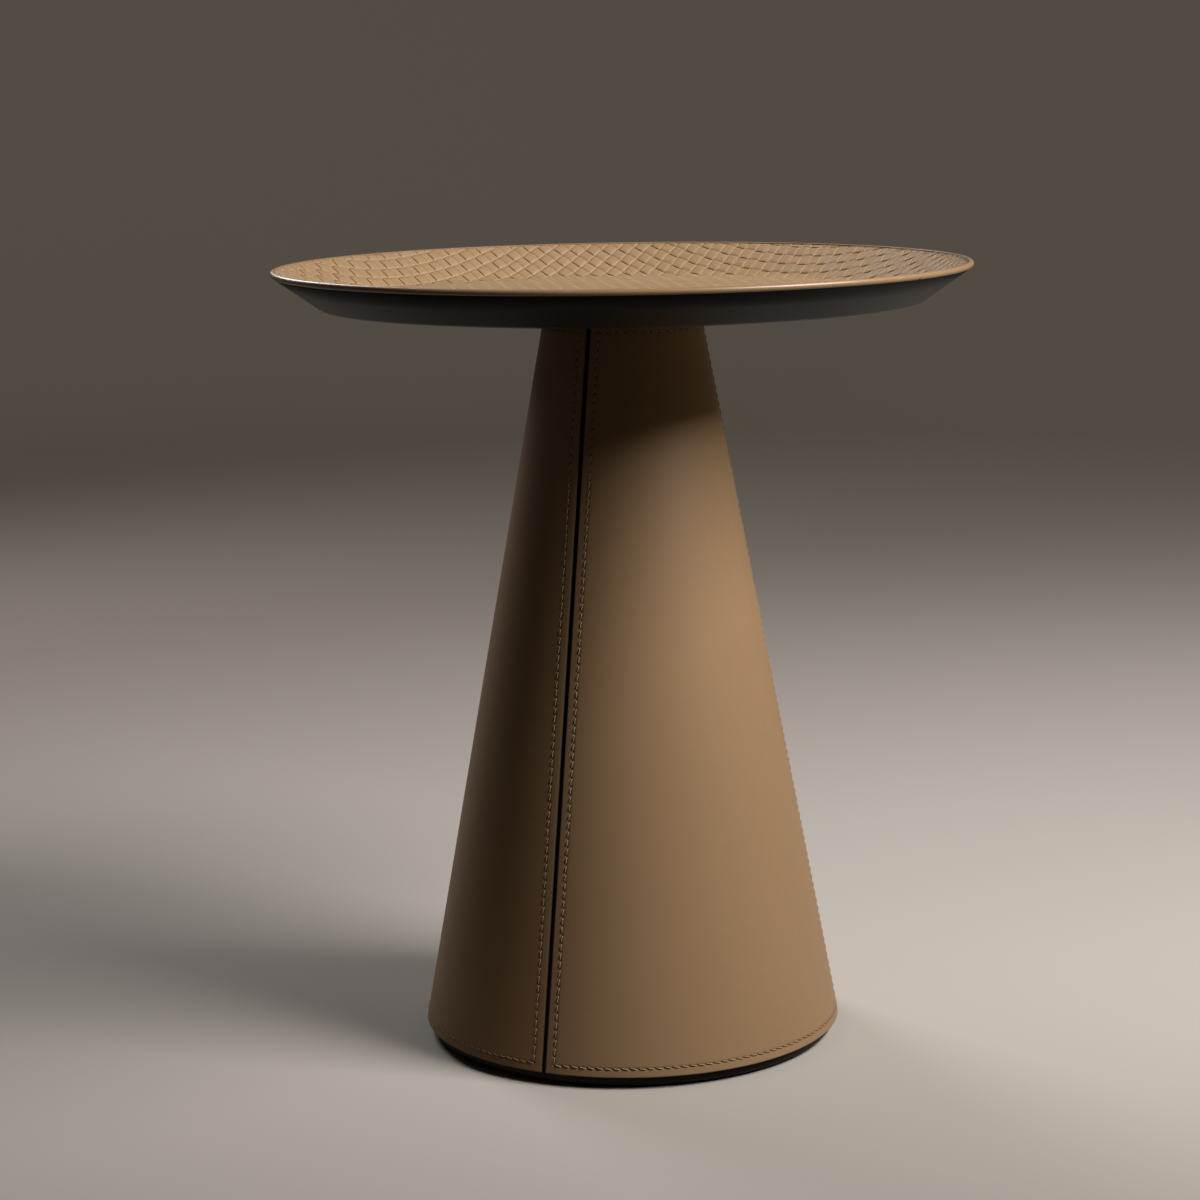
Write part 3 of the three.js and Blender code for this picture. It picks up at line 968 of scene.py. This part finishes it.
def woven_family(name, tray, own, other, indices, parity, rng):
    """The strips of one family in one piece, as grids that are closed at both ends."""
    parts, faces = [], []
    start = 0
    reach = flare(tray)[1][0] - SEAT_GAP
    for index in indices:
        tone = rng.uniform(-1, 1)
        made = strip_surface(tray, own, other, index, parity + index, reach)
        if made is None:
            continue
        grid, strip_map, lift = made
        rows, columns = lift.shape
        tones = np.full(lift.size, tone)
        parts.append((grid.reshape(-1, 3), strip_map.reshape(-1, 2), lift.ravel(), tones))
        faces += grid_faces(rows, columns, wrap_columns=True, start=start).tolist()
        ring = start + np.arange(columns)
        faces.append(ring[::-1].tolist())
        faces.append((ring + (rows - 1) * columns).tolist())
        start += lift.size
    points, strip_maps, lifts, tones = (np.concatenate(part) for part in zip(*parts))
    return make_piece(name, points, faces, {"strip": strip_maps}, {"lift": lifts, "tone": tones})


def strip_numbers(tray, own, other):
    """Numbers of the strips of one family that cross the tray, counted from the weave's start."""
    aside = np.array([-own[1], own[0]]) / math.hypot(*own)
    pitch = float(other @ aside)
    middle = -float(np.array(tray.weave_start) @ aside) / pitch
    count = LIP_RADIUS / abs(pitch)
    return range(math.floor(middle - count), math.ceil(middle + count))


def layer_points(tray, depth):
    """Radii and heights of a face of the dish from near the axis to the lip, at a depth inside its
    outer face: a level floor, an arc and a straight flare."""
    slope, bead = flare(tray)
    along, inward = flare_directions(slope)
    centre = np.array([tray.floor_radius - BEND_RADIUS * math.tan(slope / 2), UNDERSIDE_Z + BEND_RADIUS])
    turn = np.linspace(0, slope, BEND_STEPS)
    bend = centre + (BEND_RADIUS - depth) * np.stack([np.sin(turn), -np.cos(turn)], -1)
    floor = np.array([[share * centre[0], UNDERSIDE_Z + depth] for share in FLOOR_RINGS])
    end = bead - along * SEAT_GAP + inward * (depth - layers_thickness(tray) / 2)
    return np.concatenate([floor, bend, (bend[-1] + end)[None] / 2, end[None]])


def bead_surface(tray):
    """The bead's section is a half circle towards the lip and a shallow curve towards the tray. It
    is carried round the axis, with a slow unevenness and two nicks in its radius."""
    slope, middle = flare(tray)
    angle = np.linspace(0, FULL_TURN, BEAD_STEPS, endpoint=False)[:, None]
    turn = np.linspace(0, FULL_TURN, BEAD_SIDES, endpoint=False)[None, :]
    bead = tray.bead_diameter / 2
    forward = np.where(np.cos(turn) > 0, bead, BEAD_FLAT_BULGE) * np.cos(turn)
    upward = bead * np.sin(turn)
    quick, slow = (np.sin(waves * angle) for waves in BEAD_WAVES)
    scale = 1 - BEAD_UNEVENNESS * (1 + quick * slow)
    for nick_angle, width, depth in LIP_NICKS:
        away = (angle - nick_angle + math.pi) % FULL_TURN - math.pi
        scale = scale - depth / bead * np.exp(-(away * LIP_RADIUS / width) ** 2)
    forward, upward = forward * scale, upward * scale
    radius = middle[0] + forward * math.cos(slope) - upward * math.sin(slope)
    height = middle[1] + forward * math.sin(slope) + upward * math.cos(slope)
    faces = grid_faces(BEAD_STEPS, BEAD_SIDES, True, True)[:, ::-1]
    return round_points(radius, angle, height), faces


# Stage

# The camera looks from the front, a little down, as the picture was taken
CAMERA_PLACE = (0.0, -2.1214, 0.7051)
CAMERA_PITCH = 0.17934
CAMERA_YAW = 0.00908
CAMERA_ROLL = -0.0166
SENSOR_WIDTH = 36  # millimetres, as Blender gives lenses and sensors

# Floor, its sweep up into the backdrop, and the points that they have
FLOOR_REACH = 3.6
SWEEP_RADIUS = 1.0
WALL_HEIGHT = 3.2
FLOOR_STEPS = 9
SWEEP_STEPS = 16
STAGE_STEPS = 128

# Lamps
LAMP_AIM = (0.0, 0.0, 0.38)
KEY_PLACE = (1.39, -0.67, 1.76)
KEY_SIZE = (0.97, 0.97)
KEY_COLOUR = (1.0, 0.98, 0.95)
RIM_PLACE = (-1.15, 1.75, 1.66)
RIM_SIZE = (0.8, 1.05)
RIM_COLOUR = (0.97, 0.985, 1.0)
FILL_COLOUR = (1.0, 0.88, 0.72)


def sweep_surface():
    """Floor, quarter round and wall as one profile carried round the Z axis, closed in the middle
    by a fan of triangles."""
    turn = np.linspace(0, QUARTER_TURN, SWEEP_STEPS)
    floor = np.stack([np.linspace(0, FLOOR_REACH, FLOOR_STEPS), np.zeros(FLOOR_STEPS)], -1)
    out, up = np.sin(turn), 1 - np.cos(turn)
    sweep = np.stack([FLOOR_REACH + SWEEP_RADIUS * out, SWEEP_RADIUS * up], -1)
    wall = np.array([[FLOOR_REACH + SWEEP_RADIUS, WALL_HEIGHT]])
    profile = np.concatenate([floor[1:], sweep[1:], wall])
    rings = turned_points(profile, STAGE_STEPS).reshape(-1, 3)
    columns = len(profile)
    first = np.arange(STAGE_STEPS) * columns
    fan = np.stack([np.full(STAGE_STEPS, len(rings)), first, (first + columns) % len(rings)], -1)
    faces = [*grid_faces(STAGE_STEPS, columns, wrap_rows=True).tolist(), *fan.tolist()]
    return np.concatenate([rings, [[0, 0, 0]]]), faces


def add_lamp(name, place, size, power, colour):
    """A soft light with a width and a height, that faces the table."""
    data = bpy.data.lights.new(name, "AREA")
    data.shape = "RECTANGLE"
    data.size, data.size_y = size
    data.energy = power
    data.color = colour
    lamp = bpy.data.objects.new(name, data)
    lamp.rotation_mode = "QUATERNION"
    lamp.rotation_quaternion = (Vector(place) - Vector(LAMP_AIM)).to_track_quat("Z", "Y")
    lamp.location = place
    bpy.context.scene.collection.objects.link(lamp)


# Operators

class TABLE_OT_stage(bpy.types.Operator):
    """Camera, soft lights, and a plain pale floor that curves up into a backdrop"""
    bl_idname = "table.stage"
    bl_label = "Stage"

    def execute(self, context):
        settings = context.scene.table_stage
        stage = make_piece("stage", *sweep_surface())
        stage.data.materials.append(stage_paint(settings.floor, settings.backdrop))
        add_lamp("key", KEY_PLACE, KEY_SIZE, settings.key_power, KEY_COLOUR)
        add_lamp("rim", RIM_PLACE, RIM_SIZE, settings.rim_power, RIM_COLOUR)
        world = bpy.data.worlds.new("studio")
        context.scene.world = world
        world.use_nodes = True
        background = world.node_tree.nodes["Background"]
        background.inputs["Color"].default_value = rgba(FILL_COLOUR)
        background.inputs["Strength"].default_value = settings.fill
        camera = bpy.data.objects.new("camera", bpy.data.cameras.new("camera"))
        camera.data.lens = settings.lens
        camera.data.sensor_width = SENSOR_WIDTH
        camera.rotation_mode = "QUATERNION"
        yaw = Matrix.Rotation(CAMERA_YAW, 4, "Z")
        pitch = Matrix.Rotation(QUARTER_TURN - CAMERA_PITCH, 4, "X")
        roll = Matrix.Rotation(CAMERA_ROLL, 4, "Z")
        camera.matrix_world = Matrix.Translation(CAMERA_PLACE) @ (yaw @ pitch @ roll)
        context.scene.collection.objects.link(camera)
        context.scene.camera = camera
        context.scene.view_settings.view_transform = "Standard"
        return {"FINISHED"}


class TABLE_OT_leather_panels(bpy.types.Operator):
    """Three leather panels with rounded edges, stitched grooves and needle holes"""
    bl_idname = "table.leather_panels"
    bl_label = "Leather Panels"

    def execute(self, context):
        cone = context.scene.table_cone
        material = panel_leather(context.scene.table_finish.leather, cone)
        for index in range(PANEL_COUNT):
            points, maps, faces = panel_surface(cone, index)
            piece = make_piece(f"panel_leather_{index + 1}", points, faces, maps)
            dress(piece, material, [f"leather_panel_{index + 1}"])
        return {"FINISHED"}


class TABLE_OT_stitches(bpy.types.Operator):
    """Waxed thread stitches along every edge of the panels"""
    bl_idname = "table.stitches"
    bl_label = "Stitches"

    def execute(self, context):
        cone = context.scene.table_cone
        material = waxed_thread(context.scene.table_finish.thread)
        rng = np.random.default_rng(context.scene.table_stage.seed)
        for index in range(PANEL_COUNT):
            points, maps, faces = stitch_surface(cone, index, rng)
            piece = make_piece(f"panel_stitches_{index + 1}", points, faces, maps)
            dress(piece, material)
        return {"FINISHED"}


class TABLE_OT_woven_lining(bpy.types.Operator):
    """Two families of leather strips, plainly woven over the tray's floor and flare"""
    bl_idname = "table.woven_lining"
    bl_label = "Woven Lining"

    def execute(self, context):
        tray = context.scene.table_tray
        material = strip_leather(context.scene.table_finish.woven_leather)
        rng = np.random.default_rng(context.scene.table_stage.seed)
        first, second = np.array(tray.first_cell), np.array(tray.second_cell)
        for letter, own, other, parity in (("a", first, second, 0), ("b", second, first, 1)):
            numbers = strip_numbers(tray, own, other)
            middle = len(numbers) // 2
            for half, part in enumerate((numbers[:middle], numbers[middle:])):
                name = f"tray_strips_{letter}_{half + 1}"
                piece = woven_family(name, tray, own, other, part, parity, rng)
                dress(piece, material, ["woven_lining"])
        return {"FINISHED"}


class TABLE_OT_tray_dish(bpy.types.Operator):
    """Spun dish with a flat floor, a round bend and a straight flare"""
    bl_idname = "table.tray_dish"
    bl_label = "Tray Dish"

    def execute(self, context):
        tray = context.scene.table_tray
        outer = layer_points(tray, 0)
        inner = layer_points(tray, tray.dish_thickness)[::-1]
        axis = np.array([[0, UNDERSIDE_Z], [0, UNDERSIDE_Z + tray.dish_thickness]])
        profile = np.concatenate([axis[:1], outer, inner, axis[1:]])
        piece = turned_disc("spun_dish", profile, ROUND_STEPS)
        colour = context.scene.table_finish.graphite_paint
        material = powder_coat("graphite_paint", colour, roughness=0.42, dust=0.1, level=0.1)
        dress(piece, material, ["tray_dish"])
        return {"FINISHED"}


class TABLE_OT_lip_bead(bpy.types.Operator):
    """Rounded leather bead along the tray's lip, with two small nicks"""
    bl_idname = "table.lip_bead"
    bl_label = "Lip Bead"

    def execute(self, context):
        tray = context.scene.table_tray
        middle_z = flare(tray)[1][1]
        piece = make_piece("lip_binding", *bead_surface(tray))
        material = bead_leather(context.scene.table_finish.leather, middle_z)
        dress(piece, material, ["lip_bead"])
        return {"FINISHED"}


class TABLE_OT_felt_glides(bpy.types.Operator):
    """Round felt glides with soft edges under the foot"""
    bl_idname = "table.felt_glides"
    bl_label = "Felt Glides"

    EASE_SHARE = 0.25  # of a glide's height that each of its edges is rounded by
    EASE_STEPS = 5
    PAD_STEPS = 64

    def execute(self, context):
        material = pressed_felt(context.scene.table_finish.felt)
        for index, node in enumerate(numbered("felt_glide")):
            low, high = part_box(node)
            radius, height = (high.x - low.x) / 2, high.z - low.z
            ease = height * self.EASE_SHARE
            turn = np.linspace(0, QUARTER_TURN, self.EASE_STEPS)
            lower = np.stack([radius - ease + ease * np.sin(turn), ease - ease * np.cos(turn)], -1)
            upper = np.stack([lower[::-1, 0], height - lower[::-1, 1]], -1)
            inner = np.array([[0, 0], [radius / 2, 0]])
            profile = np.concatenate([inner, lower, upper, inner[::-1] + [0, height]])
            centre = ((low.x + high.x) / 2, (low.y + high.y) / 2)
            piece = turned_disc(f"glide_pad_{index + 1}", profile, self.PAD_STEPS, centre)
            dress(piece, material, [node])
        return {"FINISHED"}


class TABLE_OT_painted_metal(bpy.types.Operator):
    """Black powder coat on the cone shell, foot plate, tabs and top plate"""
    bl_idname = "table.painted_metal"
    bl_label = "Painted Metal"

    EASED_EDGE = 0.3 * MM

    def execute(self, context):
        colour = context.scene.table_finish.black_paint
        material = powder_coat("black_paint", colour, roughness=0.46, dust=0.16, level=0.14)
        for name in ("cone_shell", "base_plate", "top_plate", *numbered("cone_tab")):
            dress_node(name, material, self.EASED_EDGE)
        return {"FINISHED"}


class TABLE_OT_fasteners(bpy.types.Operator):
    """Zinc plate on the screws, studs, washers and nuts"""
    bl_idname = "table.fasteners"
    bl_label = "Fasteners"

    EASED_EDGE = 0.2 * MM

    def execute(self, context):
        material = zinc_plate(context.scene.table_finish.steel)
        for kind in ("base_screw", "tray_stud", "stud_washer", "stud_nut"):
            for name in numbered(kind):
                dress_node(name, material, self.EASED_EDGE)
        return {"FINISHED"}


STEPS = (
    TABLE_OT_stage, TABLE_OT_leather_panels, TABLE_OT_stitches, TABLE_OT_tray_dish,
    TABLE_OT_woven_lining, TABLE_OT_lip_bead, TABLE_OT_felt_glides, TABLE_OT_painted_metal,
    TABLE_OT_fasteners,
)

SETTINGS = {
    "table_cone": ConeSettings,
    "table_tray": TraySettings,
    "table_finish": FinishSettings,
    "table_stage": StageSettings,
}


class TABLE_PT_pieces(bpy.types.Panel):
    """The steps that build the table, and their settings"""
    bl_idname = "TABLE_PT_pieces"
    bl_label = "Side Table"
    bl_space_type = "VIEW_3D"
    bl_region_type = "UI"
    bl_category = "Side Table"

    def draw(self, context):
        for step in STEPS:
            self.layout.operator(step.bl_idname)
        for name in SETTINGS:
            settings = getattr(context.scene, name)
            box = self.layout.box()
            for prop in settings.bl_rna.properties:
                if prop.identifier not in {"rna_type", "name"}:
                    box.prop(settings, prop.identifier)


def register():
    for kind in (*SETTINGS.values(), *STEPS, TABLE_PT_pieces):
        bpy.utils.register_class(kind)
    for name, kind in SETTINGS.items():
        setattr(bpy.types.Scene, name, PointerProperty(type=kind))


def unregister():
    for name in SETTINGS:
        delattr(bpy.types.Scene, name)
    for kind in reversed((*SETTINGS.values(), *STEPS, TABLE_PT_pieces)):
        bpy.utils.unregister_class(kind)


def main():
    register()
    for step in STEPS:
        area, name = step.bl_idname.split(".")
        if getattr(getattr(bpy.ops, area), name)() != {"FINISHED"}:
            raise RuntimeError(f"{step.bl_label} did not finish")


if __name__ == "__main__":
    main()
